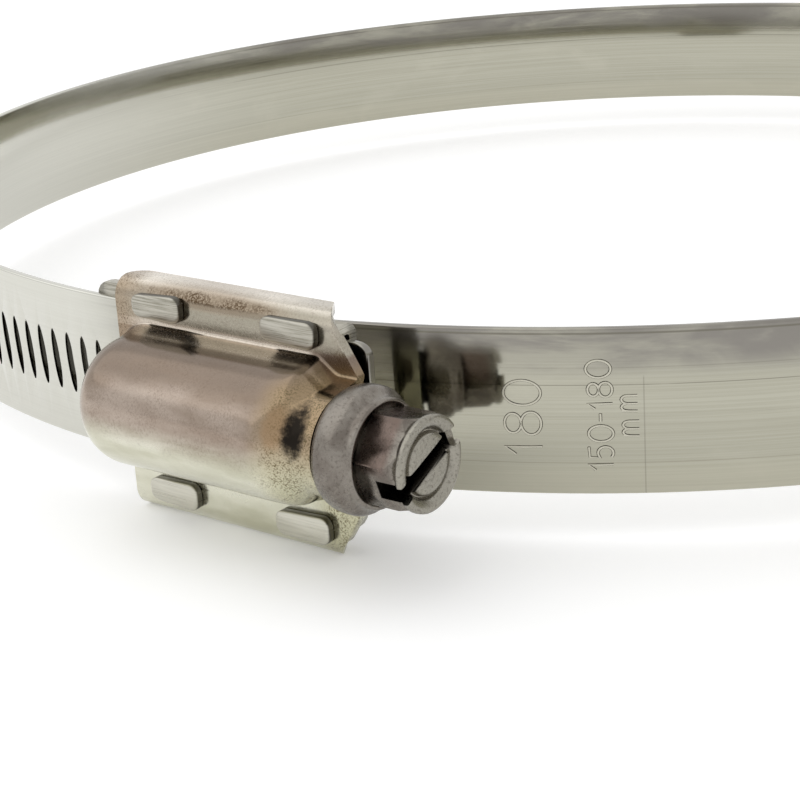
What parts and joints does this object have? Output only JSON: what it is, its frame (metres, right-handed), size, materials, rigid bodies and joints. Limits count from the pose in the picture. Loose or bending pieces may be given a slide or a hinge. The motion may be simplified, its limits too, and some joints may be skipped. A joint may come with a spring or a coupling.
{
  "type": "worm drive hose clamp",
  "caption": "Slotted steel band closed in a ring by a worm screw in a pressed housing, with a slotted hexagon head.",
  "frame": {"origin": "under the middle of the whole clamp, level with its lowest point, the housing's lower edge", "axes": "+Z along the ring's axis, +X along the screw towards its head, and -Y from the ring's centre towards the housing"},
  "size_m": [0.1826, 0.1944, 0.0239],
  "materials": {
    "band_steel": "rolled, fine lines along the band",
    "saddle_steel": "matt, with sheared heads",
    "housing_steel": "pressed, with a light brown heat tint",
    "screw_steel": "cold formed, satin grey brown"
  },
  "bodies": {
    "clamp": {"band": "band_steel", "saddle": "saddle_steel", "housing": "housing_steel"},
    "screw": {"screw": "screw_steel"}
  },
  "joints": [
    {"name": "screw_turn", "type": "hinge", "parent": "clamp", "child": "screw", "pos_m": [0.01595, -0.09085, 0.01295], "axis": [1, 0, 0], "continuous": true, "deforming": ["band"]}
  ]
}
